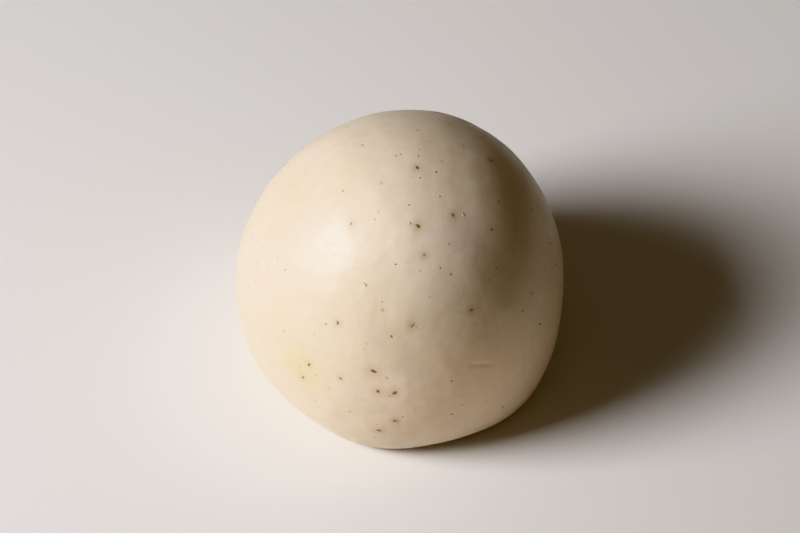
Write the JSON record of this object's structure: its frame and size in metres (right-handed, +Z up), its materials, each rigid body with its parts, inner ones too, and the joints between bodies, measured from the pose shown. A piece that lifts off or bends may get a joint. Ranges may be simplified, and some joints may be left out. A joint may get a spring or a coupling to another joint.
{
  "type": "mochi rice cake",
  "caption": "Plain round mochi: a soft cream-coloured rice dough sweet with fine brown flecks and a satin skin, hand shaped and resting on its flat underside.",
  "frame": {"origin": "middle of the footprint's bounding box, on the plane that the flat underside rests on", "axes": "+Z up from the flat underside to the crown; +X runs across the width towards the fuller, palm-cupped side; -Y faces the side shown to the viewer"},
  "size_m": [0.0464, 0.0448, 0.04],
  "materials": {
    "rice_dough": null,
    "bran_flecks": "matt brown bran, in specks under a millimetre",
    "rice_grains": "pale, faintly translucent broken rice grain"
  },
  "bodies": {
    "root": {"mochi": "rice_dough"}
  },
  "joints": []
}
